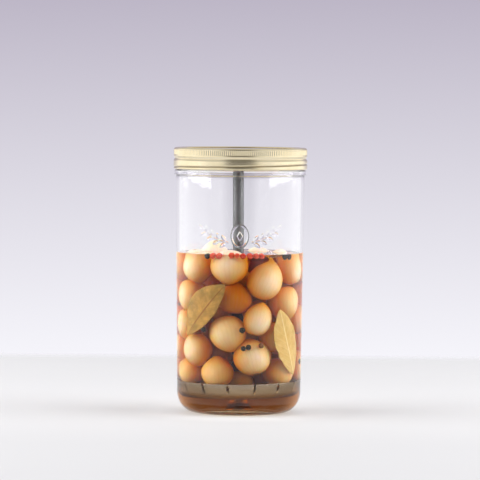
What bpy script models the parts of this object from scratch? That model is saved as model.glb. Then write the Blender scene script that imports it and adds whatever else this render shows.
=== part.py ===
"""Pickle jar: a glass jar with a two-piece screw lid, a steel lifter, pickled onions and bay leaves.

Metres, +Z up. The origin is at the centre of the jar's base, and the jar's front faces -Y.
An azimuth is measured round the jar's axis from the front, and grows towards +X.
"""

import math
import random

import bmesh
import bpy
from mathutils import Matrix, Vector

MM = 0.001

# Jar
JAR_RIM_Z = 194.0 * MM
JAR_WALL = 2.6 * MM
BODY_TOP_Z = 175.0 * MM
BODY_TOP_R = 47.9 * MM
BODY_LOW_Z = 18.0 * MM
BODY_LOW_R = 46.1 * MM
HEEL_WIDTH = 13.1 * MM
HEEL_HEIGHT = 16.0 * MM
BASE_RING_WIDTH = 4.0 * MM
BASE_PUNT = 1.6 * MM
FLOOR_TOP_Z = 5.0 * MM
INNER_HEEL = 11.0 * MM
NECK_R = 46.6 * MM
NECK_BORE_R = 43.8 * MM
NECK_THREAD_R = 48.0 * MM
NECK_THREAD_Z = 187.0 * MM
NECK_THREAD_HALF = 2.0 * MM
SHOULDER_LOW_Z = 174.8 * MM
SHOULDER_HIGH_Z = 180.8 * MM
BEAD_R = 49.2 * MM
BEAD_Z = 178.3 * MM
BEAD_HALF_HEIGHT = 1.9 * MM

# Screw band, from its crest down to its rolled edge
BAND_TOP_Z = 197.0 * MM
BAND_R = 50.0 * MM
BAND_SHEET = 0.45 * MM
BAND_FLANGE_R = 41.5 * MM
BAND_FLANGE_DROP = 0.7 * MM
BAND_ROLL = 1.8 * MM
KNURL_R = 49.7 * MM
KNURL_LOW_Z = 191.8 * MM
GROOVE_R = 48.95 * MM
UPPER_GROOVE_Z = 189.9 * MM
BULGE_R = 49.9 * MM
BULGE_Z = 187.1 * MM
BULGE_DEPTH = 0.4 * MM
BULGE_HALF = 1.5 * MM
LOWER_GROOVE_Z = 184.1 * MM
SKIRT_DEPTH = 0.5 * MM
SKIRT_HALF = 1.3 * MM
BAND_BOTTOM_Z = 181.0 * MM

# Lid disc
DISC_R = 48.3 * MM
DISC_SHEET = 0.7 * MM
DISC_FLANGE_Z = 195.5 * MM
DISC_SEAL_Z = 194.35 * MM
DISC_SEAL_INNER_R = 43.0 * MM
DISC_PANEL_R = 37.5 * MM
DISC_PANEL_RISE = 0.5 * MM
DISC_GROOVE_R = 39.5 * MM
DISC_GROOVE_DEPTH = 0.3 * MM
DISC_GROOVE_END_R = 41.5 * MM
DISC_EDGE = 0.5 * MM

# Lifter
ROD_R = 4.1 * MM
ROD_TOP_Z = 190.0 * MM
ROD_ROUND = 1.0 * MM
ROD_FILLET = 1.5 * MM
FOOT_R = 8.0 * MM
FOOT_HEIGHT = 1.5 * MM
FOOT_NECK_R = 6.0 * MM
FOOT_BOTTOM_Z = FLOOR_TOP_Z + 0.3 * MM
DISH_R = 37.7 * MM
DISH_RIM_Z = 23.6 * MM
DISH_BOTTOM_Z = 12.5 * MM
DISH_SHEET = 0.8 * MM
DISH_CORNER = 5.0 * MM
DISH_CORNER_END = -27.0
DISH_WALL_LEAN = math.radians(27.0)
SLOT_PAIRS = 6
SLIT_AZIMUTH = math.radians(18.0)
SLIT_WIDTH = 1.3 * MM
SLIT_LOW_Z = 17.4 * MM
SLOT_WIDTH = 1.7 * MM
SLOT_LOW_Z = 18.0 * MM
SLOT_HIGH_Z = 22.3 * MM
SLOT_CUT_DEPTH = 9.0 * MM
SLOT_CUT_R = 35.9 * MM
SLOT_CUT_RISE = 3.0 * MM

# Onions
GAP = 0.3 * MM
ONION_SIDES = 9
ONION_RINGS = 6
CORE_R = 26.0 * MM
CORE_BORE_R = 5.0 * MM
CORE_LOW_Z = 17.0 * MM
CORE_HIGH_Z = 110.0 * MM
CORE_CHAMFER = 5.0 * MM
# Onions that show at the front, with the gap that a leaf or the glass leaves them: azimuth in
# degrees, then gap to the glass, height and diameter in mm, and length over diameter
FRONT_ONIONS = (
    (-58, 0.6, 109, 23.0, 1.00),
    (-13, 0.6, 110, 26.0, 0.98),
    (33, 0.6, 99, 25.0, 1.16),
    (74, 0.6, 107, 21.5, 1.10),
    (-74, 2.0, 88, 22.5, 1.08),
    (-6, 4.5, 86, 23.0, 1.00),
    (67, 2.0, 83, 23.5, 1.12),
    (22, 0.6, 71, 20.0, 1.26),
    (-15, 2.0, 61, 25.5, 1.06),
    (-80, 2.0, 66, 21.0, 1.14),
    (-58, 0.8, 48, 22.0, 1.12),
    (17, 0.6, 43, 25.6, 1.07),
    (51, 6.0, 57, 20.0, 1.10),
    (-30, 4.0, 31.5, 22.5, 1.00),
    (-81, 4.5, 31, 21.0, 1.00),
    (61, 4.0, 31.5, 22.5, 1.00),
)
# Onions of the top layer that rise behind those, in the same terms
BACK_TOP_ONIONS = (
    (-99, 0.6, 110, 22.0, 1.05),
    (-142, 0.6, 113, 25.0, 1.00),
    (154, 0.6, 110, 24.5, 1.00),
    (112, 0.6, 108, 24.0, 1.05),
    (-167, 22.5, 112, 17.0, 1.00),
)
BACK_TIERS = (32, 52, 71, 90)
BACK_START = 103
BACK_STEP = 49
BACK_COUNT = 4
INNER_TIERS = (24, 42, 60, 78, 95)
INNER_COUNT = 3
INNER_REACH = 22
LOOSE_GLASS_GAP = 0.6 * MM
SMALLEST_ONION_R = 7.5 * MM
SQUEEZE = 0.02
BACK_DIAMETERS = (22.0, 26.0)
BACK_LENGTHS = (0.96, 1.12)
BACK_SHIFT = 4.0
INNER_DIAMETERS = (16.0, 18.0)
ONION_LEAN = 0.3
ONION_SEED = 7
PUSHES = 200

# Bay leaves: round the wall and up, in mm, from the leaf's low tip to its far tip
LEAF_SHEET = 0.5 * MM
LEAF_GLASS_GAP = 0.9 * MM
LEAF_WAVE = 0.25 * MM
LEAF_CURVE_R = 43.4
LEAF_TIP_HALF = 0.3
LEAF_FULLNESS = 0.85
LEAF_CROSS_WAVE = 1.5
LEFT_LEAF = {"low": (-44.6, 57.5), "high": (-8.2, 107.7), "width": 22.4, "end": 0.78, "turns": 1.6}
RIGHT_LEAF = {"low": (47.9, 30.0), "high": (31.4, 78.6), "width": 23.6, "end": 1.0, "turns": 1.3}
LEAF_LENGTH_CELLS = 14
LEAF_WIDTH_CELLS = 4

# Facets round each turned piece
JAR_SEGMENTS = 56
BAND_SEGMENTS = 48
DISC_SEGMENTS = 40
LIFTER_SEGMENTS = 40
CORE_SEGMENTS = 24
MERGE = 0.00001


def clear_scene():
    for old in list(bpy.data.objects):
        bpy.data.objects.remove(old)


def new_collection(name):
    collection = bpy.data.collections.new(name)
    bpy.context.scene.collection.children.link(collection)
    return collection


def make_material(name, color, roughness, metallic=0.0, transmission=0.0):
    material = bpy.data.materials.new(name)
    material.use_nodes = True
    shader = material.node_tree.nodes["Principled BSDF"]
    shader.inputs["Base Color"].default_value = (*color, 1.0)
    shader.inputs["Roughness"].default_value = roughness
    shader.inputs["Metallic"].default_value = metallic
    shader.inputs["Transmission Weight"].default_value = transmission
    return material


def arc(centre_r, centre_z, radius_r, radius_z, start, end, steps):
    """Points on a quarter or half oval in the (radius, height) plane, angles in degrees."""
    points = []
    for step in range(steps + 1):
        angle = math.radians(start + (end - start) * step / steps)
        points.append((centre_r + radius_r * math.cos(angle), centre_z + radius_z * math.sin(angle)))
    return points


def turned(name, profile, segments, collection, closed=False):
    """A profile in the (radius, height) plane, turned round Z by a Screw modifier."""
    mesh = bpy.data.meshes.new(name)
    edges = [(i, i + 1) for i in range(len(profile) - 1)]
    if closed:
        edges.append((len(profile) - 1, 0))
    mesh.from_pydata([(r, 0.0, z) for r, z in profile], edges, [])
    piece = bpy.data.objects.new(name, mesh)
    collection.objects.link(piece)
    screw = piece.modifiers.new("Turn", "SCREW")
    screw.axis = "Z"
    screw.angle = math.tau
    screw.steps = segments
    screw.render_steps = segments
    screw.use_merge_vertices = True
    screw.merge_threshold = MERGE
    screw.use_smooth_shade = True
    return piece


def outer_radius(height):
    """Radius of the jar's outside, which widens a little from the heel to the neck."""
    rise = (height - BODY_LOW_Z) / (BODY_TOP_Z - BODY_LOW_Z)
    return BODY_LOW_R + (BODY_TOP_R - BODY_LOW_R) * rise


def inner_radius(height):
    return outer_radius(height) - JAR_WALL


def make_jar(collection):
    heel_r = BODY_LOW_R - HEEL_WIDTH
    floor_r = inner_radius(BODY_LOW_Z) - INNER_HEEL
    rim_r = 0.5 * (NECK_R + NECK_BORE_R)
    rim_half = 0.5 * (NECK_R - NECK_BORE_R)
    profile = [(0.0, FLOOR_TOP_Z)]
    profile += arc(floor_r, FLOOR_TOP_Z + INNER_HEEL, INNER_HEEL, INNER_HEEL, -90, 0, 4)
    profile += [(inner_radius(SHOULDER_LOW_Z), SHOULDER_LOW_Z), (NECK_BORE_R, SHOULDER_HIGH_Z)]
    profile += arc(rim_r, JAR_RIM_Z - rim_half, rim_half, rim_half, 180, 0, 4)
    profile += [(NECK_R, NECK_THREAD_Z + NECK_THREAD_HALF), (NECK_THREAD_R, NECK_THREAD_Z)]
    profile += [(NECK_R, NECK_THREAD_Z - NECK_THREAD_HALF)]
    profile += arc(BODY_TOP_R, BEAD_Z, BEAD_R - BODY_TOP_R, BEAD_HALF_HEIGHT, 90, -90, 4)
    profile += [(BODY_TOP_R, BODY_TOP_Z)]
    profile += arc(heel_r, HEEL_HEIGHT, HEEL_WIDTH, HEEL_HEIGHT, 0, -90, 6)
    profile += [(heel_r - BASE_RING_WIDTH, 0.0), (0.5 * heel_r, 0.8 * BASE_PUNT), (0.0, BASE_PUNT)]
    jar = turned("jar", profile, JAR_SEGMENTS, collection)
    jar.data.materials.append(make_material("clear_glass", (0.93, 0.95, 0.94), 0.02, transmission=1.0))


def make_screw_band(collection):
    """The rolled sheet, drawn on its outer face and thickened inwards."""
    crest_r = KNURL_R - BAND_ROLL
    profile = [(BAND_FLANGE_R, BAND_TOP_Z - BAND_FLANGE_DROP)]
    profile += arc(crest_r, BAND_TOP_Z - BAND_ROLL, BAND_ROLL, BAND_ROLL, 90, 0, 3)
    profile += [(KNURL_R, KNURL_LOW_Z)]
    profile += [(GROOVE_R, UPPER_GROOVE_Z)]
    profile += arc(BULGE_R - BULGE_DEPTH, BULGE_Z, BULGE_DEPTH, BULGE_HALF, 60, -60, 2)
    profile += [(GROOVE_R, LOWER_GROOVE_Z)]
    profile += arc(BAND_R - SKIRT_DEPTH, BAND_BOTTOM_Z + SKIRT_HALF, SKIRT_DEPTH, SKIRT_HALF, 60, -90, 3)
    band = turned("screw_band", profile, BAND_SEGMENTS, collection)
    sheet = band.modifiers.new("Sheet", "SOLIDIFY")
    sheet.thickness = BAND_SHEET
    sheet.offset = -1.0
    sheet.use_even_offset = True
    band.data.materials.append(make_material("gold_band", (0.80, 0.66, 0.40), 0.28, metallic=1.0))


def make_lid_disc(collection):
    """A raised panel, a groove round it and the flange, with the sealing ring under the flange."""
    panel_z = DISC_FLANGE_Z + DISC_PANEL_RISE
    groove_z = DISC_FLANGE_Z - DISC_GROOVE_DEPTH
    profile = [(0.0, panel_z), (DISC_PANEL_R, panel_z), (DISC_GROOVE_R, groove_z)]
    profile += [(DISC_GROOVE_END_R, DISC_FLANGE_Z), (DISC_R - DISC_EDGE, DISC_FLANGE_Z)]
    profile += [(DISC_R, DISC_FLANGE_Z - DISC_EDGE), (DISC_R, DISC_SEAL_Z), (DISC_SEAL_INNER_R, DISC_SEAL_Z)]
    profile += [(DISC_SEAL_INNER_R, DISC_FLANGE_Z - DISC_SHEET), (DISC_GROOVE_R, groove_z - DISC_SHEET)]
    profile += [(DISC_PANEL_R, panel_z - DISC_SHEET), (0.0, panel_z - DISC_SHEET)]
    disc = turned("lid_disc", profile, DISC_SEGMENTS, collection)
    disc.data.materials.append(make_material("gold_disc", (0.80, 0.66, 0.40), 0.3, metallic=1.0))


def dish_wall_radius(height):
    """Radius of the dish's leaning wall, on its outer face."""
    return DISH_R - (DISH_RIM_Z - height) * math.tan(DISH_WALL_LEAN)


def lifter_profile():
    """Rod, dish and foot as one outline: down the rod, out and up the dish, over its rim and back."""
    corner_z = DISH_BOTTOM_Z + DISH_CORNER
    corner_r = dish_wall_radius(corner_z) - DISH_CORNER
    inner_corner = DISH_CORNER - DISH_SHEET
    dish_floor_z = DISH_BOTTOM_Z + DISH_SHEET
    profile = [(0.0, ROD_TOP_Z)]
    profile += arc(ROD_R - ROD_ROUND, ROD_TOP_Z - ROD_ROUND, ROD_ROUND, ROD_ROUND, 90, 0, 2)
    profile += [(ROD_R, dish_floor_z + ROD_FILLET), (ROD_R + ROD_FILLET, dish_floor_z)]
    profile += arc(corner_r, corner_z, inner_corner, inner_corner, -90, DISH_CORNER_END, 3)
    profile += [(DISH_R - DISH_SHEET, DISH_RIM_Z), (DISH_R, DISH_RIM_Z)]
    profile += arc(corner_r, corner_z, DISH_CORNER, DISH_CORNER, DISH_CORNER_END, -90, 3)
    foot_top_z = FOOT_BOTTOM_Z + FOOT_HEIGHT
    profile += [(FOOT_NECK_R, DISH_BOTTOM_Z), (FOOT_NECK_R, foot_top_z + FOOT_R - FOOT_NECK_R)]
    profile += [(FOOT_R, foot_top_z), (FOOT_R, FOOT_BOTTOM_Z), (0.0, FOOT_BOTTOM_Z)]
    return profile


def add_cutter_block(bm, azimuth, width, low_z, high_z):
    """A block across the dish's wall, for one slot."""
    centre = Vector((0.0, -SLOT_CUT_R, 0.5 * (low_z + high_z)))
    scale = Matrix.Diagonal((width, SLOT_CUT_DEPTH, high_z - low_z, 1.0))
    matrix = Matrix.Rotation(azimuth, 4, "Z") @ Matrix.Translation(centre) @ scale
    bmesh.ops.create_cube(bm, size=1.0, matrix=matrix)


def make_slot_cutter(collection):
    """Slits that are open at the rim, with a closed slot midway between each two."""
    bm = bmesh.new()
    for pair in range(SLOT_PAIRS):
        azimuth = SLIT_AZIMUTH + math.tau * pair / SLOT_PAIRS
        add_cutter_block(bm, azimuth, SLIT_WIDTH, SLIT_LOW_Z, DISH_RIM_Z + SLOT_CUT_RISE)
        add_cutter_block(bm, azimuth + math.pi / SLOT_PAIRS, SLOT_WIDTH, SLOT_LOW_Z, SLOT_HIGH_Z)
    mesh = bpy.data.meshes.new("slot_cutter")
    bm.to_mesh(mesh)
    bm.free()
    cutter = bpy.data.objects.new("slot_cutter", mesh)
    cutter.hide_render = True
    cutter.display_type = "WIRE"
    collection.objects.link(cutter)
    return cutter


def make_lifter(collection, cutters):
    lifter = turned("lifter", lifter_profile(), LIFTER_SEGMENTS, collection)
    cut = lifter.modifiers.new("Slots", "BOOLEAN")
    cut.operation = "DIFFERENCE"
    cut.object = make_slot_cutter(cutters)
    lifter.data.materials.append(make_material("steel", (0.62, 0.62, 0.62), 0.3, metallic=1.0))


def polar(azimuth, radius, height):
    """A point at an azimuth in degrees from the front."""
    angle = math.radians(azimuth)
    return Vector((radius * math.sin(angle), -radius * math.cos(angle), height))


def start_onions():
    """Every onion as centre, radius, length over diameter, and whether it keeps its place."""
    draw = random.Random(ONION_SEED)
    onions = []
    for azimuth, gap, height, diameter, length in FRONT_ONIONS + BACK_TOP_ONIONS:
        radius = 0.5 * diameter * MM
        reach = inner_radius(height * MM) - gap * MM
        onions.append([polar(azimuth, reach - radius, height * MM), radius, length, True])
    for tier, height in enumerate(BACK_TIERS):
        for place in range(BACK_COUNT):
            radius = 0.5 * draw.uniform(*BACK_DIAMETERS) * MM
            azimuth = BACK_START + BACK_STEP * (place + 0.5 * (tier % 2))
            azimuth += draw.uniform(-BACK_SHIFT, BACK_SHIFT)
            reach = inner_radius(height * MM) - LOOSE_GLASS_GAP
            centre = polar(azimuth, reach - radius, height * MM)
            onions.append([centre, radius, draw.uniform(*BACK_LENGTHS), False])
    for tier, height in enumerate(INNER_TIERS):
        for place in range(INNER_COUNT):
            radius = 0.5 * draw.uniform(*INNER_DIAMETERS) * MM
            azimuth = 360 / INNER_COUNT * (place + 0.5 * (tier % 2))
            centre = polar(azimuth, INNER_REACH * MM - radius, height * MM)
            onions.append([centre, radius, 1.0, False])
    return onions


def keep_inside(centre, radius):
    """Keep an onion between the rod and the glass, and clear of the dish and its rim."""
    height = max(centre.z, DISH_BOTTOM_Z + DISH_SHEET + GAP + radius)
    flat = Vector((centre.x, centre.y))
    reach = flat.length
    from_rim = Vector((reach - DISH_R + 0.5 * DISH_SHEET, height - DISH_RIM_Z))
    short = radius + 0.5 * DISH_SHEET + 2.0 * GAP - from_rim.length
    if short > 0.0:
        from_rim = from_rim.normalized() * short
        height += max(from_rim.y, 0.0)
        flat *= (reach + from_rim.x) / reach
    near = ROD_R + 2.0 * GAP + radius
    far = inner_radius(height) - LOOSE_GLASS_GAP - radius
    flat *= min(max(flat.length, near), far) / flat.length
    return Vector((flat.x, flat.y, height))


def packed_onions():
    """Push the loose onions apart, and shrink those that stay squeezed, until they only touch."""
    onions = start_onions()
    for _ in range(PUSHES):
        for i, one in enumerate(onions):
            for other in onions[:i]:
                between = one[0] - other[0]
                overlap = one[1] + other[1] - between.length
                if overlap <= 0.0:
                    continue
                push = between.normalized() * overlap * 0.5
                for onion, way in ((one, push), (other, -push)):
                    if not onion[3]:
                        onion[0] = onion[0] + way
                        onion[1] = max(onion[1] - SQUEEZE * overlap, SMALLEST_ONION_R)
        for onion in onions:
            if not onion[3]:
                onion[0] = keep_inside(onion[0], onion[1])
    return onions


def make_onion(name, onion, draw, collection):
    """A ball with few sides, a little longer than wide, leaning its own way."""
    centre, radius, length, _ = onion
    bm = bmesh.new()
    bmesh.ops.create_uvsphere(bm, u_segments=ONION_SIDES, v_segments=ONION_RINGS, radius=radius)
    bmesh.ops.scale(bm, vec=(1.0, 1.0, length), verts=bm.verts)
    matrix = Matrix.Translation(centre)
    for axis, most in (("X", ONION_LEAN), ("Y", ONION_LEAN), ("Z", math.pi)):
        matrix = matrix @ Matrix.Rotation(draw.uniform(-most, most), 4, axis)
    bmesh.ops.transform(bm, matrix=matrix, verts=bm.verts)
    mesh = bpy.data.meshes.new(name)
    bm.to_mesh(mesh)
    bm.free()
    collection.objects.link(bpy.data.objects.new(name, mesh))


def make_onion_heap(collection):
    """The onions that show, fused to a core that stands round the rod."""
    draw = random.Random(ONION_SEED)
    pieces = new_collection("heap pieces")
    for number, onion in enumerate(packed_onions()):
        if math.hypot(onion[0].x, onion[0].y) + onion[1] > CORE_R:
            make_onion(f"heap_piece_{number}", onion, draw, pieces)
    shoulder_r = CORE_R - CORE_CHAMFER
    profile = [(CORE_BORE_R, CORE_HIGH_Z), (shoulder_r, CORE_HIGH_Z), (CORE_R, CORE_HIGH_Z - CORE_CHAMFER)]
    profile += [(CORE_R, CORE_LOW_Z + CORE_CHAMFER), (shoulder_r, CORE_LOW_Z), (CORE_BORE_R, CORE_LOW_Z)]
    core = turned("heap_core", profile, CORE_SEGMENTS, pieces, closed=True)
    join = core.modifiers.new("Join", "BOOLEAN")
    join.operation = "UNION"
    join.operand_type = "COLLECTION"
    balls = new_collection("heap balls")
    for piece in list(pieces.objects):
        if piece is not core:
            pieces.objects.unlink(piece)
            balls.objects.link(piece)
    join.collection = balls
    evaluated = core.evaluated_get(bpy.context.evaluated_depsgraph_get())
    mesh = bpy.data.meshes.new_from_object(evaluated)
    mesh.name = "onions"
    mesh.materials.clear()
    mesh.materials.append(make_material("pickled_onion", (0.80, 0.55, 0.25), 0.35))
    for piece in list(balls.objects) + [core]:
        bpy.data.objects.remove(piece)
    bpy.data.collections.remove(balls)
    bpy.data.collections.remove(pieces)
    collection.objects.link(bpy.data.objects.new("onions", mesh))


def make_leaf(name, leaf, collection):
    """A pointed oval laid against the inside of the glass, with a slight wave across it."""
    low, high = Vector(leaf["low"]), Vector(leaf["high"])
    along = (high - low).normalized()
    across = Vector((along.y, -along.x))
    bm = bmesh.new()
    bmesh.ops.create_grid(bm, x_segments=LEAF_LENGTH_CELLS, y_segments=LEAF_WIDTH_CELLS, size=1.0)
    for vert in bm.verts:
        share = 0.5 * (vert.co.x + 1.0) * leaf["end"]
        half = max(LEAF_TIP_HALF, 0.5 * leaf["width"] * math.sin(math.pi * share) ** LEAF_FULLNESS)
        place = low + (high - low) * share + across * (half * vert.co.y)
        wave = LEAF_WAVE * math.sin(math.tau * leaf["turns"] * share + LEAF_CROSS_WAVE * vert.co.y)
        height = place.y * MM
        radius = inner_radius(height) - LEAF_GLASS_GAP + wave
        vert.co = polar(math.degrees(place.x / LEAF_CURVE_R), radius, height)
    bmesh.ops.triangulate(bm, faces=bm.faces)
    mesh = bpy.data.meshes.new(name)
    bm.to_mesh(mesh)
    bm.free()
    piece = bpy.data.objects.new(name, mesh)
    collection.objects.link(piece)
    sheet = piece.modifiers.new("Sheet", "SOLIDIFY")
    sheet.thickness = LEAF_SHEET
    sheet.offset = 0.0
    mesh.materials.append(make_material(name, (0.42, 0.33, 0.12), 0.5))


def main():
    clear_scene()
    parts = new_collection("Pickle jar")
    cutters = new_collection("Cutters")
    make_jar(parts)
    make_screw_band(parts)
    make_lid_disc(parts)
    make_lifter(parts, cutters)
    make_onion_heap(parts)
    make_leaf("bay_leaf_left", LEFT_LEAF, parts)
    make_leaf("bay_leaf_right", RIGHT_LEAF, parts)


main()
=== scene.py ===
"""Looks of the pickle jar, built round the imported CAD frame.

Metres, +Z up, jar's front towards -Y. An azimuth is measured round the jar's axis from the front
and grows towards +X, as in the CAD.
"""

import math
import random

import bmesh
import bpy
from mathutils import Matrix, Vector, noise


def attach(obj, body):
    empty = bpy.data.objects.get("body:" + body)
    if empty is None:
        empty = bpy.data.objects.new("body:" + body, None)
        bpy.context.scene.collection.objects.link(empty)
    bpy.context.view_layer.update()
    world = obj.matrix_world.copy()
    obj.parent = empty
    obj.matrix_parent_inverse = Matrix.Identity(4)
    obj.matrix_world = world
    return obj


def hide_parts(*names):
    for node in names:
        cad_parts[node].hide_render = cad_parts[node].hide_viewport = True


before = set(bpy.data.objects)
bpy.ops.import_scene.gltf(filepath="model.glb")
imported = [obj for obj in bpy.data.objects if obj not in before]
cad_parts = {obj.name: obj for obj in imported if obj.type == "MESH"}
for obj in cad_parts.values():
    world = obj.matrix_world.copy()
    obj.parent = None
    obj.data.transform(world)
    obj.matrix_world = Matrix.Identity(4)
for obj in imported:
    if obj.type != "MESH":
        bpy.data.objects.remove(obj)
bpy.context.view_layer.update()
MM = 0.001

# Glass
RIM_Z = 194.0 * MM
WALL = 2.6 * MM
BODY_TOP_Z = 175.0 * MM
BODY_TOP_R = 47.9 * MM
BODY_LOW_Z = 18.0 * MM
BODY_LOW_R = 46.1 * MM
HEEL_WIDTH = 13.1 * MM
HEEL_HEIGHT = 16.0 * MM
BASE_RING_WIDTH = 4.0 * MM
BASE_PUNT = 1.6 * MM
FLOOR_TOP_Z = 5.0 * MM
INNER_HEEL = 11.0 * MM
NECK_R = 46.6 * MM
NECK_BORE_R = 43.8 * MM
NECK_THREAD_HEIGHT = 1.4 * MM
NECK_THREAD_Z = 187.0 * MM
NECK_THREAD_HALF = 1.5 * MM
SHOULDER_LOW_Z = 179.5 * MM
SHOULDER_HIGH_Z = 187.5 * MM
NECK_LOW_Z = 181.2 * MM
BEAD_R = 49.0 * MM
BEAD_ROUND = 0.8 * MM
BEAD_HIGH_Z = 179.6 * MM
BEAD_LOW_Z = 177.5 * MM
UNDER_BEAD_LEDGE = 0.06 * MM
UNDER_BEAD_DROP = 0.3 * MM
GLASS_STEP = 2.0
RELIEF_STEP = 0.35
WALL_STEP = 4.0

# Moulded ornament on the glass: two leafy sprigs beside an oval, in mm along the wall and up
RELIEF_Z = 133.0
RELIEF_HEIGHT = 0.4
RELIEF_EDGE = 0.8
RELIEF_REACH = 35.0
RELIEF_LOW = -11.0
RELIEF_HIGH = 13.0
OVAL = (6.0, 8.0)
OVAL_RIDGE = 0.6
LOZENGE = (2.4, 4.0)
LOZENGE_EDGE = 0.25
STEM_START = 8.5
STEM_LENGTH = 20.0
STEM_LOW = -4.5
STEM_RISE = 9.0
STEM_BEND = 1.7
STEM_HALF = 0.5
SPRIG_PAIRS = 4
SPRIG_LEAF_LENGTH = 6.6
SPRIG_LEAF_HALF = 1.45
SPRIG_LEAF_FULLNESS = 0.8
SPRIG_TAPER = 0.3
SPRIG_FIRST_PAIR = 0.3
SPRIG_SPREAD = math.radians(46.0)

# Vinegar
LEVEL_Z = 119.0 * MM
INTO_WALL = 0.3 * MM
MENISCUS_RISE = 0.2 * MM
MENISCUS_REACH = 0.9 * MM
SURFACE_RINGS = (0.0, 2.0, 4.4, 5.2, 6.5, 9.0, 14.0, 20.0, 26.0, 32.0, 36.0, 39.0, 40.5, 41.5, 42.3, 43.0)
SURFACE_DEPTH = (0.2 * MM, 0.1 * MM)

# Screw band
BAND_TOP_Z = 197.0 * MM
BAND_BOTTOM_Z = 181.0 * MM
BAND_SHEET = 0.3 * MM
BAND_FLANGE_R = 41.5 * MM
BAND_FLANGE_DROP = 0.5 * MM
BAND_ROLL = 1.8 * MM
BAND_STEP = 0.25 * MM
KNURL_R = 49.6 * MM
KNURL_LOW_Z = 191.7 * MM
KNURL_HIGH_Z = 195.4 * MM
KNURL_RIBS = 200
KNURL_DEPTH = 0.3 * MM
KNURL_STEPS = 6
UPPER_GROOVE_Z = 189.1 * MM
UPPER_GROOVE_DEPTH = 0.8 * MM
UPPER_GROOVE_HALF = 1.9 * MM
THREAD_GROOVE_Z = 183.8 * MM
THREAD_GROOVE_DEPTH = 0.55 * MM
THREAD_GROOVE_HALF = 0.8 * MM
THREAD_PITCH = 5.0
THREAD_FADE = 30.0
THREAD_HALF_TURNS = 215.0
BAND_WALL_R = 49.75 * MM
SKIRT_ROLL = 0.7 * MM

# Lid disc
DISC_R = 48.3 * MM
DISC_SHEET = 0.7 * MM
DISC_FLANGE_Z = 195.5 * MM
DISC_SEAL_Z = 194.35 * MM
DISC_SEAL_INNER_R = 43.0 * MM
DISC_PANEL_R = 37.5 * MM
DISC_PANEL_RISE = 0.5 * MM
DISC_GROOVE_R = 39.5 * MM
DISC_GROOVE_DEPTH = 0.3 * MM
DISC_GROOVE_END_R = 41.5 * MM
DISC_EDGE = 0.5 * MM
DISC_RINGS = 260.0

# Lifter
ROD_R = 4.1 * MM
ROD_TOP_Z = 190.0 * MM
LIFTER_LEAN = math.radians(0.5)
ROD_ROUND = 1.0 * MM
ROD_FILLET = 1.5 * MM
FOOT_R = 8.0 * MM
FOOT_HEIGHT = 1.5 * MM
FOOT_NECK_R = 6.0 * MM
FOOT_BOTTOM_Z = FLOOR_TOP_Z + 0.3 * MM
DISH_R = 37.7 * MM
DISH_RIM_Z = 23.6 * MM
DISH_BOTTOM_Z = 12.5 * MM
DISH_SHEET = 0.8 * MM
DISH_CORNER = 5.0 * MM
DISH_CORNER_END = -27.0
DISH_WALL_LEAN = math.radians(27.0)
SLOT_PAIRS = 6
SLIT_AZIMUTH = math.radians(18.0)
SLIT_WIDTH = 1.3 * MM
SLIT_LOW_Z = 17.4 * MM
SLOT_WIDTH = 1.7 * MM
SLOT_LOW_Z = 18.0 * MM
SLOT_HIGH_Z = 22.3 * MM
SLOT_CUT_DEPTH = 9.0 * MM
SLOT_CUT_R = 35.9 * MM
SLOT_CUT_RISE = 3.0 * MM

# Onions, placed and packed as in the CAD
GAP = 0.3 * MM
CORE_R = 26.0 * MM
FRONT_ONIONS = (
    (-58, 0.6, 109, 23.0, 1.00),
    (-13, 0.6, 110, 26.0, 0.98),
    (33, 0.6, 99, 25.0, 1.16),
    (74, 0.6, 107, 21.5, 1.10),
    (-74, 2.0, 88, 22.5, 1.08),
    (-6, 4.5, 86, 23.0, 1.00),
    (67, 2.0, 83, 23.5, 1.12),
    (22, 0.6, 71, 20.0, 1.26),
    (-15, 2.0, 61, 25.5, 1.06),
    (-80, 2.0, 66, 21.0, 1.14),
    (-58, 0.8, 48, 22.0, 1.12),
    (17, 0.6, 43, 25.6, 1.07),
    (51, 6.0, 57, 20.0, 1.10),
    (-30, 4.0, 31.5, 22.5, 1.00),
    (-81, 4.5, 31, 21.0, 1.00),
    (61, 4.0, 31.5, 22.5, 1.00),
)
BACK_TOP_ONIONS = (
    (-99, 0.6, 110, 22.0, 1.05),
    (-142, 0.6, 113, 25.0, 1.00),
    (154, 0.6, 110, 24.5, 1.00),
    (112, 0.6, 108, 24.0, 1.05),
    (-167, 22.5, 112, 17.0, 1.00),
)
BACK_TIERS = (32, 52, 71, 90)
BACK_START = 103
BACK_STEP = 49
BACK_COUNT = 4
INNER_TIERS = (24, 42, 60, 78, 95)
INNER_COUNT = 3
INNER_REACH = 22
LOOSE_GLASS_GAP = 0.6 * MM
SMALLEST_ONION_R = 7.5 * MM
SQUEEZE = 0.02
BACK_DIAMETERS = (22.0, 26.0)
BACK_LENGTHS = (0.96, 1.12)
BACK_SHIFT = 4.0
INNER_DIAMETERS = (16.0, 18.0)
ONION_LEAN = 0.3
ONION_SEED = 7
LOOKS_SEED = 11
PUSHES = 200
ONION_SIDES = 48
ONION_RINGS = 30
TIPPED_ONION = 2
TIPPED_SHARE = 0.17
TIP_LEAN = math.radians(21.0)
TIP_SHARES = (0.03, 0.16)
TIP_PULL = 0.75
TIP_PULL_WIDTH = 0.85
TIP_RISE = 0.8
TIP_RISE_WIDTH = 0.42
ROOT_FLAT = 0.07
ROOT_FLAT_WIDTH = 0.42
ONION_UNEVEN = 0.022
ONION_SHRINK = 0.012
STAINED_ONION = 5
STAINS = (0.0, 0.14)
# painted shade: onions turn amber from their glass side inwards, as deeper vinegar shows them
DEEP_STAIN_START = 0.05
DEEP_STAIN_END = 0.95

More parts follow.
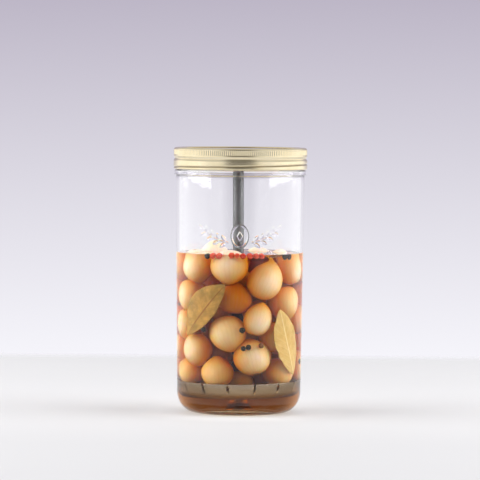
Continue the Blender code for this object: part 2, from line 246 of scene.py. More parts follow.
# Bay leaves, laid as in the CAD: mm round the wall and up
LEAF_SHEET = 0.35 * MM
LEAF_GLASS_GAP = 0.9 * MM
LEAF_WAVE = 0.25 * MM
LEAF_CURVE_R = 43.4
LEAF_TIP_HALF = 0.3
LEAF_FULLNESS = 0.78
LEAF_CROSS_WAVE = 1.5
LEAF_NOTCHES = 9.0
LEAF_RIB_HEIGHT = 0.22 * MM
LEAF_RIB_HALF = 0.6
LEAF_VEIN_HEIGHT = 0.12 * MM
LEAF_VEIN_SWEEP = 0.21
LEAF_RIPPLE = 0.12 * MM
LEFT_LEAF = {
    "low": (-43.9, 58.4), "high": (-10.3, 97.0), "halves": (14.8, 8.3), "turns": 1.6, "uneven": 0.05,
}
RIGHT_LEAF = {
    "low": (47.9, 30.0), "high": (31.4, 78.6), "halves": (11.8, 11.8), "turns": 1.3, "uneven": 0.12,
}
LEAF_LENGTH_CELLS = 120
LEAF_WIDTH_CELLS = 44
LEAF_VEINS = 9

# Peppercorns: azimuth in degrees, height and diameter in mm
PEPPER_GLASS_GAP = 0.4 * MM
BLACK_PEPPER = (
    (-32.9, 117.6, 4.6), (48.9, 117.0, 4.4), (55.2, 116.9, 4.4), (3.1, 63.8, 4.4), (4.2, 50.4, 3.8),
    (9.3, 51.3, 4.0), (-37.0, 63.5, 3.8), (84.3, 38.2, 4.4),
)
RED_PEPPER = (
    (-26.9, 117.9, 4.8), (-20.5, 118.0, 4.9), (-8.0, 118.5, 4.8), (-2.4, 118.5, 4.0),
    (3.2, 118.1, 4.6), (10.0, 118.1, 5.0), (16.2, 118.1, 4.6), (21.7, 118.0, 4.8),
)
SPICE_SEED = (22.3, 52.4, 4.0)
BLACK_WRINKLE = 0.14
RED_WRINKLE = 0.06
SEED_WRINKLE = 0.05

# Scrap of spice under the surface: degrees round the jar, and mm
BARK_START = 29.5
BARK_TURN = 15.5
BARK_Z = 117.0
BARK_RISE = 0.5
BARK_HALF = 0.75
BARK_FLATNESS = 0.8
BARK_UNEVEN = 0.12
BARK_DEPTH = 2.4 * MM
BARK_STEPS = 40
BARK_SIDES = 16

# Finishes: colours, and for a leaf its blade, light blade and rib, for a pepper its roughness too
GLASS_SHADE = (0.96, 0.97, 0.97)
VINEGAR_BROWN = (0.83, 0.65, 0.14)
VINEGAR_STRENGTH = 100.0
GOLD = (0.80, 0.69, 0.45)
PALE_GOLD = (0.86, 0.76, 0.53)
# painted shade for the band's climbing groove
POOLED_LACQUER = (0.20, 0.14, 0.06)
DRAWN_STEEL = (0.17, 0.17, 0.175)
LIGHT_DRAWN_STEEL = (0.21, 0.21, 0.215)
DISH_STEEL = (0.41, 0.40, 0.56)
# painted shade: vinegar brown on the low part of the dish
BROWNED_STEEL = (0.30, 0.18, 0.09)
# painted light: a lighter vinegar brown on the foot, lifting the shade under the dish
FOOT_STEEL = (0.60, 0.42, 0.25)
DISH_POLISH = 0.3
ONION_CREAM = (0.94, 0.80, 0.68)
ONION_CLOUD = (0.94, 0.72, 0.50)
# painted shade of the deeper vinegar on the onions
ONION_AMBER = (0.92, 0.45, 0.03)
ONION_STAIN = (0.62, 0.24, 0.0)
ONION_VEIN = (0.60, 0.36, 0.13)
ONION_ROOT = (0.30, 0.16, 0.06)
ONION_VEINS = 24
LEFT_BLADE = ((0.32, 0.19, 0.045), (0.58, 0.33, 0.08), (0.30, 0.13, 0.03))
RIGHT_BLADE = ((0.62, 0.41, 0.13), (0.70, 0.49, 0.19), (0.80, 0.63, 0.33))
LEAF_SPECK = (0.12, 0.07, 0.02)
BLACK_PEPPER_SKIN = ((0.012, 0.010, 0.012), (0.05, 0.04, 0.04), 0.5)
RED_PEPPER_SKIN = ((0.66, 0.03, 0.02), (0.92, 0.14, 0.06), 0.35)
SPICE_SKIN = ((0.16, 0.06, 0.02), (0.28, 0.12, 0.05), 0.6)

# Camera and table
CAMERA_DISTANCE = 2.5
CAMERA_HEIGHT = 0.245
CAMERA_SIDE = 0.0001
CAMERA_PITCH = math.radians(2.677)
CAMERA_ROLL = math.radians(0.45)
CAMERA_LENS = 251.9
TABLE_HALF_WIDTH = 1.6
TABLE_NEAR_EDGE = -1.2
TABLE_FAR_EDGE = 0.5
TABLE_EDGE_BLUR = 0.07
# Table colours by place: painted shade in front evens out the lamps' stronger light there; the back is a
# little darker and the sides much darker.
TABLE_FRONT = (0.75, 0.745, 0.753)
TABLE_MIDDLE = (0.825, 0.82, 0.828)
TABLE_BACK = (0.79, 0.785, 0.793)
TABLE_SIDES = (0.50, 0.497, 0.502)
# painted light round the jar's base, filling its contact shadow
TABLE_BY_JAR = (0.93, 0.925, 0.933)
FRONT_TO_MIDDLE = (-0.25, 0.0)
MIDDLE_TO_BACK = (0.02, 0.3)
MIDDLE_TO_SIDES = (0.24, 0.8)
ROUND_JAR = (0.09, 0.05)

# Studio backdrop, with the blends by the direction's share to the side, back or up
BACKDROP_LOW = (0.913, 0.905, 0.956)
BACKDROP_HIGH = (0.49, 0.45, 0.55)
BACKDROP_RISE = (-0.0795, 0.03)
SIDE_LIGHT = (1.35, 1.35, 1.37)
SIDE_BLEND = (0.42, 0.8)
FRONT_SIDE_LIGHT = (1.05, 1.05, 1.06)
FRONT_SIDE_BLEND = (-0.25, -0.65)
CAMERA_DIM = (0.18, 0.18, 0.185)
CAMERA_BLEND = (-0.8, -0.985)
CEILING_LIGHT = (0.72, 0.72, 0.73)
CEILING_BLEND = (0.2, 0.5)
HIGH_DIM = (0.24, 0.24, 0.245)
HIGH_UP_BLEND = (0.06, 0.2)
HIGH_SIDE_BLEND = (0.5, 0.22)
HIGH_FRONT_BLEND = (0.0, -0.25)
TABLE_LIGHT = (0.87, 0.86, 0.88)
TABLE_BLEND = (-0.085, -0.105)

# Lamps, aimed at the jar's middle
LAMP_TARGET = (0.0, 0.0, 0.1)
SOFTBOX_AZIMUTH = 84.0
SOFTBOX_DISTANCE = 1.25
SOFTBOX_HEIGHT = 0.55
SOFTBOX_SIZE = (1.3, 0.85)
SOFTBOX_RADIANCE = 4.1
SOFTBOX_COLOR = (1.0, 1.0, 1.0)
FILL_PLACE = (0.0, -2.3, 0.3)
FILL_SIZE = (1.3, 0.6)
FILL_RADIANCE = 1.37
FILL_COLOR = (1.0, 0.98, 0.95)


def outer_radius(height):
    """Radius of the jar's outside, which widens a little from the heel to the neck."""
    rise = (height - BODY_LOW_Z) / (BODY_TOP_Z - BODY_LOW_Z)
    return BODY_LOW_R + (BODY_TOP_R - BODY_LOW_R) * rise


def inner_radius(height):
    return outer_radius(height) - WALL


def polar(azimuth, radius, height):
    """A point at an azimuth in degrees from the front."""
    angle = math.radians(azimuth)
    return Vector((radius * math.sin(angle), -radius * math.cos(angle), height))


def arc(centre_r, centre_z, radius_r, radius_z, start, end, steps):
    """Points on a quarter or half oval in the (radius, height) plane, angles in degrees."""
    points = []
    for step in range(steps + 1):
        angle = math.radians(start + (end - start) * step / steps)
        points.append((centre_r + radius_r * math.cos(angle), centre_z + radius_z * math.sin(angle)))
    return points


def smooth_step(low, high, value):
    share = min(max((value - low) / (high - low), 0.0), 1.0)
    return share * share * (3.0 - 2.0 * share)


def bump(value, half):
    """1 at the middle, falling smoothly to 0 at half."""
    return 1.0 - smooth_step(0.0, half, abs(value))


def finish_piece(name, bm, material, replaces=None):
    """Turn a bmesh into a shown piece that rides on the jar."""
    bmesh.ops.recalc_face_normals(bm, faces=bm.faces)
    for face in bm.faces:
        face.smooth = True
    mesh = bpy.data.meshes.new(name)
    bm.to_mesh(mesh)
    bm.free()
    for finish in material if isinstance(material, list) else [material]:
        mesh.materials.append(finish)
    piece = bpy.data.objects.new(name, mesh)
    bpy.context.scene.collection.objects.link(piece)
    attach(piece, "root")
    if replaces:
        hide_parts(replaces)
    return piece


def turned(profile, azimuths, change=None, closed=False):
    """A profile in the (radius, height) plane turned round Z, with an optional change of radius."""
    bm = bmesh.new()
    rows = []
    for radius, height in profile:
        if radius == 0.0:
            rows.append([bm.verts.new((0.0, 0.0, height))] * len(azimuths))
            continue
        row = []
        for azimuth in azimuths:
            moved = change(azimuth, radius, height) if change else radius
            row.append(bm.verts.new(polar(azimuth, moved, height)))
        rows.append(row)
    if closed:
        rows.append(rows[0])
    for low, high in zip(rows, rows[1:]):
        for place in range(len(azimuths)):
            following = (place + 1) % len(azimuths)
            corners = [low[place], low[following], high[following], high[place]]
            corners = list(dict.fromkeys(corners))
            if len(corners) > 2:
                bm.faces.new(corners)
    return bm


def even_azimuths(count):
    return [360.0 * place / count - 180.0 for place in range(count)]


def straight(start, end, step):
    """Points strictly between two profile points, no more than a step apart."""
    count = max(1, math.ceil(math.dist(start, end) / step))
    return [
        (start[0] + (end[0] - start[0]) * i / count, start[1] + (end[1] - start[1]) * i / count)
        for i in range(1, count)
    ]


def new_material(name):
    material = bpy.data.materials.new(name)
    material.use_nodes = True
    return material, material.node_tree, material.node_tree.nodes["Principled BSDF"]


def set_inputs(node, **values):
    """Set sockets by name, with spaces written as underscores."""
    for name, value in values.items():
        node.inputs[name.replace("_", " ")].default_value = value


def add_node(tree, kind, **values):
    node = tree.nodes.new(kind)
    set_inputs(node, **values)
    return node


def mottle_group():
    """Soft cloudy variation from 0 to 1, shared by the food and the metal."""
    group = bpy.data.node_groups.new("Mottle", "ShaderNodeTree")
    for name, value in (("Scale", 100.0), ("Low", 0.35), ("High", 0.65)):
        socket = group.interface.new_socket(name, in_out="INPUT", socket_type="NodeSocketFloat")
        socket.default_value = value
    group.interface.new_socket("Mask", in_out="OUTPUT", socket_type="NodeSocketFloat")
    source = group.nodes.new("NodeGroupInput")
    target = group.nodes.new("NodeGroupOutput")
    place = group.nodes.new("ShaderNodeTexCoord")
    cloud = add_node(group, "ShaderNodeTexNoise", Detail=4.0, Roughness=0.55)
    spread = group.nodes.new("ShaderNodeMapRange")
    group.links.new(place.outputs["Object"], cloud.inputs["Vector"])
    group.links.new(source.outputs["Scale"], cloud.inputs["Scale"])
    group.links.new(cloud.outputs["Fac"], spread.inputs["Value"])
    group.links.new(source.outputs["Low"], spread.inputs["From Min"])
    group.links.new(source.outputs["High"], spread.inputs["From Max"])
    group.links.new(spread.outputs["Result"], target.inputs["Mask"])
    return group


def place_mottle(tree, group, scale, low, high):
    node = tree.nodes.new("ShaderNodeGroup")
    node.node_tree = group
    set_inputs(node, Scale=scale, Low=low, High=high)
    return node.outputs["Mask"]


def blend_colors(tree, factor, first, second):
    """A colour mix by a socket. Each colour is a socket or an RGB tuple."""
    mix = tree.nodes.new("ShaderNodeMix")
    mix.data_type = "RGBA"
    colors = [s for s in mix.inputs if s.type == "RGBA"]
    for socket, color in zip(colors, (first, second)):
        if isinstance(color, tuple):
            socket.default_value = (*color, 1.0)
        else:
            tree.links.new(color, socket)
    tree.links.new(factor, next(s for s in mix.inputs if s.type == "VALUE" and s.enabled))
    return next(s for s in mix.outputs if s.type == "RGBA")


def math_node(tree, operation, first, second=0.0):
    node = tree.nodes.new("ShaderNodeMath")
    node.operation = operation
    for socket, value in zip(node.inputs, (first, second)):
        if isinstance(value, (int, float)):
            socket.default_value = value
        else:
            tree.links.new(value, socket)
    return node.outputs[0]


def ramp(tree, value, low, high):
    """A smooth step of a value, from 0 at low to 1 at high."""
    node = add_node(tree, "ShaderNodeMapRange", From_Min=low, From_Max=high)
    node.interpolation_type = "SMOOTHSTEP"
    tree.links.new(value, node.inputs["Value"])
    return node.outputs["Result"]


def straight_ramp(tree, value, **ends):
    """A straight change of a value, from 0 to 1 unless its ends say otherwise."""
    node = add_node(tree, "ShaderNodeMapRange", **ends)
    tree.links.new(value, node.inputs["Value"])
    return node.outputs["Result"]


def split_axes(tree, place):
    """The three numbers of a place, as sockets."""
    split = tree.nodes.new("ShaderNodeSeparateXYZ")
    tree.links.new(place, split.inputs[0])
    return split.outputs


def object_place(tree):
    return tree.nodes.new("ShaderNodeTexCoord").outputs["Object"]


def drawn_noise(tree, upright, scale, detail):
    """Noise drawn out up the jar, the more so the smaller the upright scale."""
    stretch = add_node(tree, "ShaderNodeMapping", Scale=(1.0, 1.0, upright))
    marks = add_node(tree, "ShaderNodeTexNoise", Scale=scale, Detail=detail)
    tree.links.new(object_place(tree), stretch.inputs["Vector"])
    tree.links.new(stretch.outputs["Vector"], marks.inputs["Vector"])
    return marks.outputs["Fac"]


def add_bump(tree, shader, height, strength, distance):
    node = add_node(tree, "ShaderNodeBump", Strength=strength, Distance=distance)
    tree.links.new(height, node.inputs["Height"])
    tree.links.new(node.outputs["Normal"], shader.inputs["Normal"])


def let_lamps_through(tree, shader, clear):
    """Shadow rays pass a clear body straight, so that lamps reach what it holds."""
    output = next(n for n in tree.nodes if n.type == "OUTPUT_MATERIAL")
    path = tree.nodes.new("ShaderNodeLightPath")
    passing = add_node(tree, "ShaderNodeBsdfTransparent", Color=(*clear, 1.0))
    mix = tree.nodes.new("ShaderNodeMixShader")
    tree.links.new(path.outputs["Is Shadow Ray"], mix.inputs[0])
    tree.links.new(shader.outputs[0], mix.inputs[1])
    tree.links.new(passing.outputs[0], mix.inputs[2])
    tree.links.new(mix.outputs[0], output.inputs["Surface"])
    return output


def glass_material(name, mirror):
    """Clear, slightly rippled glass. A mirror of 0 is for its inner face where it is wet."""
    material, tree, shader = new_material(name)
    set_inputs(shader, Specular_Tint=(mirror, mirror, mirror, 1.0))
    set_inputs(shader, Base_Color=(1.0, 1.0, 1.0, 1.0), Roughness=0.0, IOR=1.5, Transmission_Weight=1.0)
    add_bump(tree, shader, drawn_noise(tree, 0.35, 70.0, 1.0), 0.25, 0.3 * MM)
    let_lamps_through(tree, shader, GLASS_SHADE)
    return material


def vinegar_material():
    """Brown vinegar, whose surface mirrors, while its sides against the glass don't."""
    material, tree, shader = new_material("brown vinegar")
    set_inputs(shader, Base_Color=(1.0, 1.0, 1.0, 1.0), Roughness=0.0, IOR=1.345, Transmission_Weight=1.0)
    height = split_axes(tree, object_place(tree))[2]
    surface = ramp(tree, height, LEVEL_Z - SURFACE_DEPTH[0], LEVEL_Z - SURFACE_DEPTH[1])
    tree.links.new(surface, shader.inputs["Specular Tint"])
    output = let_lamps_through(tree, shader, (1.0, 1.0, 1.0))
    brown = (*VINEGAR_BROWN, 1.0)
    absorption = add_node(tree, "ShaderNodeVolumeAbsorption", Color=brown, Density=VINEGAR_STRENGTH)
    tree.links.new(absorption.outputs[0], output.inputs["Volume"])
    return material


def gold_material(name, mottle):
    """Lacquered tinplate: pale gold, a little cloudy. Returns its colour socket too."""
    material, tree, shader = new_material(name)
    set_inputs(shader, Metallic=1.0)
    color = blend_colors(tree, place_mottle(tree, mottle, 60.0, 0.3, 0.7), GOLD, PALE_GOLD)
    tree.links.new(color, shader.inputs["Base Color"])
    fine = place_mottle(tree, mottle, 900.0, 0.3, 0.7)
    tree.links.new(straight_ramp(tree, fine, To_Min=0.16, To_Max=0.24), shader.inputs["Roughness"])
    return material, tree, shader, color


def band_material(mottle):
    """Gold lacquer, with painted shade darkening the groove that climbs round the band."""
    material, tree, shader, gold = gold_material("gold band lacquer", mottle)
    pooled = tree.nodes.new("ShaderNodeVertexColor")
    pooled.layer_name = "groove"
    # Painted shade: the lacquer colour is darkened along the climbing groove.
    color = blend_colors(tree, pooled.outputs["Color"], gold, POOLED_LACQUER)
    tree.links.new(color, shader.inputs["Base Color"])
    return material


def disc_material(mottle):
    """Gold lacquer over fine turned rings."""
    material, tree, shader, _ = gold_material("gold disc lacquer", mottle)
    rings = add_node(tree, "ShaderNodeTexWave", Scale=DISC_RINGS, Distortion=1.0, Detail=1.0)
    rings.wave_type = "RINGS"
    rings.rings_direction = "Z"
    tree.links.new(object_place(tree), rings.inputs["Vector"])
    add_bump(tree, shader, rings.outputs["Fac"], 0.1, 0.05 * MM)
    return material


def steel_material(mottle):
    """Brushed steel: fine marks up the dull drawn rod, and a brighter dish that is brown below as painted
    shade of the deeper vinegar, with a lighter painted brown on the foot.
    """
    material, tree, shader = new_material("brushed steel")
    set_inputs(shader, Metallic=1.0)
    marks = drawn_noise(tree, 0.03, 2500.0, 3.0)
    height = split_axes(tree, object_place(tree))[2]
    dish = ramp(tree, height, DISH_RIM_Z + DISH_CORNER, DISH_RIM_Z)
    rough = straight_ramp(tree, marks, To_Min=0.4, To_Max=0.6)
    polish = math_node(tree, "MULTIPLY", dish, DISH_POLISH)
    tree.links.new(math_node(tree, "SUBTRACT", rough, polish), shader.inputs["Roughness"])
    cloud = place_mottle(tree, mottle, 120.0, 0.3, 0.7)
    rod_color = blend_colors(tree, cloud, DRAWN_STEEL, LIGHT_DRAWN_STEEL)
    # Painted shade: the dish turns brown and dark towards its bottom, as the deeper vinegar shows it.
    browned = ramp(tree, height, DISH_BOTTOM_Z + DISH_CORNER, DISH_BOTTOM_Z + 1.0 * MM)
    dish_color = blend_colors(tree, browned, DISH_STEEL, BROWNED_STEEL)
    # Painted light: the foot gets a lighter vinegar brown that lifts the shade it sits in under the dish.
    foot = ramp(tree, height, DISH_BOTTOM_Z - 0.5 * MM, DISH_BOTTOM_Z - 1.5 * MM)
    dish_color = blend_colors(tree, foot, dish_color, FOOT_STEEL)
    color = blend_colors(tree, dish, rod_color, dish_color)
    tree.links.new(color, shader.inputs["Base Color"])
    add_bump(tree, shader, marks, 0.15, 0.05 * MM)
    return material


def onion_material(mottle):
    """Moist skin: cream with amber clouds, fine veins from tip to root, a brown root, and painted amber
    shade away from the glass under the vinegar.
    """
    material, tree, shader = new_material("pickled onion")
    layout = tree.nodes.new("ShaderNodeUVMap")
    layout.uv_map = "skin"
    around, down, _ = split_axes(tree, layout.outputs["UV"])
    place = object_place(tree)
    waver = add_node(tree, "ShaderNodeTexNoise", Scale=180.0, Detail=2.0)
    tree.links.new(place, waver.inputs["Vector"])
    swing = math_node(tree, "MULTIPLY", waver.outputs["Fac"], 5.0)
    turns = math_node(tree, "MULTIPLY", around, ONION_VEINS * math.tau)
    ribs = math_node(tree, "SINE", math_node(tree, "ADD", turns, swing))
    tint = tree.nodes.new("ShaderNodeVertexColor")
    tint.layer_name = "tint"
    layers = tree.nodes.new("ShaderNodeSeparateColor")
    tree.links.new(tint.outputs["Color"], layers.inputs[0])
    # The layer holds each onion's real stain and the reach for its painted amber shade.
    stain, depth, _ = layers.outputs
    cloud = place_mottle(tree, mottle, 110.0, 0.35, 0.7)
    color = blend_colors(tree, cloud, ONION_CREAM, ONION_CLOUD)
    # Painted shade: amber grows away from the glass and below the level, standing in for deeper vinegar.
    deep = ramp(tree, depth, DEEP_STAIN_END, DEEP_STAIN_START)
    under = ramp(tree, split_axes(tree, place)[2], LEVEL_Z + 0.5 * MM, LEVEL_Z - 2.0 * MM)
    color = blend_colors(tree, math_node(tree, "MULTIPLY", deep, under), color, ONION_AMBER)
    color = blend_colors(tree, stain, color, ONION_STAIN)
    veins = straight_ramp(tree, ribs, From_Min=0.55, From_Max=1.0)
    color = blend_colors(tree, math_node(tree, "MULTIPLY", veins, 0.12), color, ONION_VEIN)
    root = straight_ramp(tree, down, From_Min=0.93, From_Max=0.985, To_Max=0.8)
    color = blend_colors(tree, root, color, ONION_ROOT)
    tree.links.new(color, shader.inputs["Base Color"])
    set_inputs(shader, Roughness=0.3, Subsurface_Weight=0.8, Subsurface_Scale=6.0 * MM)
    set_inputs(shader, Subsurface_Radius=(1.0, 0.4, 0.15), Specular_IOR_Level=0.06)
    add_bump(tree, shader, ribs, 0.04, 0.2 * MM)
    return material


def leaf_material(name, mottle, blade, light_blade, rib):
    """Dried leaf: a rib, side veins that sweep forward, a mottled blade and small dark specks."""
    material, tree, shader = new_material(name)
    layout = tree.nodes.new("ShaderNodeUVMap")
    layout.uv_map = "blade"
    share, side, _ = split_axes(tree, layout.outputs["UV"])
    across = math_node(tree, "ABSOLUTE", math_node(tree, "SUBTRACT", side, 0.5))
    run = math_node(tree, "SUBTRACT", share, math_node(tree, "MULTIPLY", across, 2.0 * LEAF_VEIN_SWEEP))
    wave = math_node(tree, "SINE", math_node(tree, "MULTIPLY", run, LEAF_VEINS * math.tau))
    faint = math_node(tree, "MULTIPLY", straight_ramp(tree, wave, From_Min=0.93, From_Max=1.0), 0.4)
    spine = straight_ramp(tree, across, From_Min=0.035, From_Max=0.012)
    cloud = place_mottle(tree, mottle, 160.0, 0.35, 0.65)
    color = blend_colors(tree, cloud, blade, light_blade)
    color = blend_colors(tree, math_node(tree, "MAXIMUM", faint, spine), color, rib)
    specks = place_mottle(tree, mottle, 1300.0, 0.66, 0.72)
    color = blend_colors(tree, math_node(tree, "MULTIPLY", specks, 0.5), color, LEAF_SPECK)
    tree.links.new(color, shader.inputs["Base Color"])
    set_inputs(shader, Roughness=0.55, Subsurface_Weight=0.15, Subsurface_Scale=1.0 * MM)
    set_inputs(shader, Specular_IOR_Level=0.06)
    add_bump(tree, shader, place_mottle(tree, mottle, 2200.0, 0.3, 0.7), 0.3, 0.1 * MM)
    return material


def pepper_material(name, mottle, dark, light, roughness):
    """Dry skin in two mottled tones, with a fine grain."""
    material, tree, shader = new_material(name)
    cloud = place_mottle(tree, mottle, 500.0, 0.35, 0.65)
    tree.links.new(blend_colors(tree, cloud, dark, light), shader.inputs["Base Color"])
    set_inputs(shader, Roughness=roughness, Specular_IOR_Level=0.15)
    add_bump(tree, shader, place_mottle(tree, mottle, 2500.0, 0.3, 0.7), 0.4, 0.15 * MM)
    return material


def almond(along, across, length, half_width):
    """Height of a moulded leaf from 0 to 1."""
    if along <= 0.0 or along >= length:
        return 0.0
    half = half_width * math.sin(math.pi * along / length) ** SPRIG_LEAF_FULLNESS
    return smooth_step(0.0, RELIEF_EDGE, half - abs(across))


def stem_point(share):
    """A point on the right-hand sprig's stem, from its foot at 0 to its end at 1."""
    return STEM_START + STEM_LENGTH * share, STEM_LOW + STEM_RISE * share**STEM_BEND


def sprig_leaves():
    """Base point, direction and length of each moulded leaf on the right-hand sprig."""
    leaves = []
    for number in range(SPRIG_PAIRS):
        share = (number + SPRIG_FIRST_PAIR) / SPRIG_PAIRS
        along, up = stem_point(share)
        after = stem_point(share + 0.02)
        heading = math.atan2(after[1] - up, after[0] - along)
        length = SPRIG_LEAF_LENGTH - SPRIG_TAPER * number
        for side in (-1.0, 1.0):
            leaves.append((along, up, heading + side * SPRIG_SPREAD, length))
    leaves.append((*stem_point(1.0), heading, 0.9 * SPRIG_LEAF_LENGTH))
    return leaves


SPRIG = sprig_leaves()


def relief(along, up):
    """Height of the moulded ornament in mm, at a place along the wall and up from its middle."""
    along = abs(along)
    ring = math.hypot(along / OVAL[0], up / OVAL[1])
    height = bump((ring - 1.0) * min(OVAL), OVAL_RIDGE)
    lozenge = 1.0 - along / LOZENGE[0] - abs(up) / LOZENGE[1]
    height = max(height, smooth_step(0.0, LOZENGE_EDGE, lozenge))
    share = (along - STEM_START) / STEM_LENGTH
    if 0.0 < share < 1.0:
        height = max(height, bump(up - stem_point(share)[1], STEM_HALF))
    for base_along, base_up, heading, length in SPRIG:
        forward = (along - base_along) * math.cos(heading) + (up - base_up) * math.sin(heading)
        sideways = (up - base_up) * math.cos(heading) - (along - base_along) * math.sin(heading)
        height = max(height, almond(forward, sideways, length, SPRIG_LEAF_HALF))
    return RELIEF_HEIGHT * height


def glass_radius(azimuth, radius, height):
    """The turned radius with the ornament on the wall and the thread on the neck."""
    if radius < inner_radius(min(height, BODY_TOP_Z)) + 0.5 * WALL:
        return radius
    along = math.radians(azimuth) * radius / MM
    up = height / MM - RELIEF_Z
    if abs(along) < RELIEF_REACH and RELIEF_LOW < up < RELIEF_HIGH:
        return radius + relief(along, up) * MM
    if height > NECK_LOW_Z and radius <= NECK_R + GAP:
        middle = NECK_THREAD_Z + THREAD_PITCH * MM * azimuth / 360.0
        fade = smooth_step(180.0, 180.0 - THREAD_FADE, abs(azimuth))
        return radius + NECK_THREAD_HEIGHT * fade * bump(height - middle, NECK_THREAD_HALF)
    return radius


def make_glass():
    """The jar as one turned wall, its outline run up the inside, over the rim and down the outside."""
    heel_r = BODY_LOW_R - HEEL_WIDTH
    floor_r = inner_radius(BODY_LOW_Z) - INNER_HEEL
    rim_r = 0.5 * (NECK_R + NECK_BORE_R)
    rim_half = 0.5 * (NECK_R - NECK_BORE_R)
    profile = [(0.0, FLOOR_TOP_Z), (0.5 * floor_r, FLOOR_TOP_Z)]
    profile += arc(floor_r, FLOOR_TOP_Z + INNER_HEEL, INNER_HEEL, INNER_HEEL, -90, 0, 14)
    wall_top = (inner_radius(SHOULDER_LOW_Z), SHOULDER_LOW_Z)
    profile += straight(profile[-1], wall_top, 2.0 * WALL_STEP * MM) + [wall_top]
    for step in range(1, 9):
        share = smooth_step(0.0, 8.0, step)
        radius = wall_top[0] + (NECK_BORE_R - wall_top[0]) * share
        profile.append((radius, SHOULDER_LOW_Z + (SHOULDER_HIGH_Z - SHOULDER_LOW_Z) * step / 8.0))
    profile += arc(rim_r, RIM_Z - rim_half, rim_half, rim_half, 180, 0, 10)
    neck_foot = (NECK_R, BEAD_HIGH_Z + BEAD_ROUND)
    profile += straight(profile[-1], neck_foot, 0.4 * MM) + [neck_foot]
    profile += arc(BEAD_R - BEAD_ROUND, BEAD_HIGH_Z, BEAD_ROUND, BEAD_ROUND, 90, 0, 7)
    profile += arc(BEAD_R - BEAD_ROUND, BEAD_LOW_Z, BEAD_ROUND, BEAD_ROUND, 0, -85, 7)
    under_bead = BEAD_LOW_Z - BEAD_ROUND
    profile += [(BODY_TOP_R + UNDER_BEAD_LEDGE, under_bead), (BODY_TOP_R, under_bead - UNDER_BEAD_DROP)]
    profile += [(BODY_TOP_R, BODY_TOP_Z)]
    relief_top = (RELIEF_Z + RELIEF_HIGH) * MM
    relief_low = (RELIEF_Z + RELIEF_LOW) * MM
    for end_z, step in ((relief_top, WALL_STEP), (relief_low, RELIEF_STEP), (HEEL_HEIGHT, WALL_STEP)):
        end_r = outer_radius(end_z) if end_z > BODY_LOW_Z else BODY_LOW_R
        profile += straight(profile[-1], (end_r, end_z), step * MM) + [(end_r, end_z)]
    profile += arc(heel_r, HEEL_HEIGHT, HEEL_WIDTH, HEEL_HEIGHT, 0, -84, 20)[1:]
    ring_r = heel_r - 0.5 * BASE_RING_WIDTH
    profile += arc(ring_r, 0.6 * MM, 0.5 * BASE_RING_WIDTH, 0.6 * MM, -45, -150, 8)
    profile += [(heel_r - 1.4 * BASE_RING_WIDTH, 0.6 * BASE_PUNT), (0.5 * heel_r, 0.9 * BASE_PUNT)]
    profile += [(0.0, BASE_PUNT)]
    ornament_end = math.degrees(RELIEF_REACH * MM / BODY_LOW_R)
    fine = math.degrees(RELIEF_STEP * MM / BODY_LOW_R)
    azimuths = []
    azimuth = -180.0
    while azimuth < 180.0 - 0.5 * GLASS_STEP:
        azimuths.append(azimuth)
        azimuth += fine if -ornament_end <= azimuth < ornament_end else GLASS_STEP
    bm = turned(profile, azimuths, glass_radius)
    for face in bm.faces:
        middle = face.calc_center_median()
        reach = math.hypot(middle.x, middle.y)
        in_wall = inner_radius(max(middle.z, BODY_LOW_Z)) + 0.3 * WALL
        wet = BASE_PUNT + MM < middle.z < LEVEL_Z and reach < in_wall
        face.material_index = 1 if wet else 0
    finishes = [glass_material("clear glass", 1.0), glass_material("clear glass, wet inside", 0.0)]
    return finish_piece("glass_jar", bm, finishes, "jar")


def make_vinegar():
    """The liquid, which reaches just into the glass and climbs a little at the wall and the rod."""
    top = []
    wall = inner_radius(LEVEL_Z)
    at_wall = [wall - 0.5 * MM, wall - 0.2 * MM, wall, wall + INTO_WALL]
    for radius in [r * MM for r in SURFACE_RINGS] + at_wall:
        rise = MENISCUS_RISE * math.exp(-max(wall - radius, 0.0) / MENISCUS_REACH)
        rise += 0.6 * MENISCUS_RISE * math.exp(-max(radius - ROD_R, 0.0) / MENISCUS_REACH)
        top.append((radius, LEVEL_Z + rise))
    floor_r = inner_radius(BODY_LOW_Z) - INNER_HEEL
    low = arc(floor_r, FLOOR_TOP_Z + INNER_HEEL, INNER_HEEL + INTO_WALL, INNER_HEEL + INTO_WALL, 0, -90, 14)
    profile = top + straight(top[-1], low[0], 5.0 * MM) + low + [(0.0, FLOOR_TOP_Z - INTO_WALL)]
    bm = turned(profile, even_azimuths(180))
    return finish_piece("vinegar", bm, vinegar_material())


def thread_share(azimuth, height):
    """How far a place lies in the groove that climbs round the band, from 0 to 1."""
    share = 0.0
    for turn in (-1.0, 0.0, 1.0):
        whole = azimuth + 360.0 * turn
        fade = smooth_step(THREAD_HALF_TURNS, THREAD_HALF_TURNS - THREAD_FADE, abs(whole))
        middle = THREAD_GROOVE_Z + THREAD_PITCH * MM * whole / 360.0
        share += fade * bump(height - middle, THREAD_GROOVE_HALF)
    return share


def band_radius(azimuth, radius, height):
    """The band's outer face: knurl, level groove, and a groove that climbs round it like its thread."""
    if radius < KNURL_R - BAND_ROLL:
        return radius
    cut = 0.0
    knurl = smooth_step(KNURL_LOW_Z - 0.2 * MM, KNURL_LOW_Z + 0.4 * MM, height)
    knurl *= smooth_step(KNURL_HIGH_Z + 0.5 * MM, KNURL_HIGH_Z - 0.3 * MM, height)
    if knurl > 0.0:
        cut += knurl * KNURL_DEPTH * (0.5 - 0.5 * math.cos(math.radians(azimuth) * KNURL_RIBS))
    cut += UPPER_GROOVE_DEPTH * bump(height - UPPER_GROOVE_Z, UPPER_GROOVE_HALF)
    return radius - cut - THREAD_GROOVE_DEPTH * thread_share(azimuth, height)


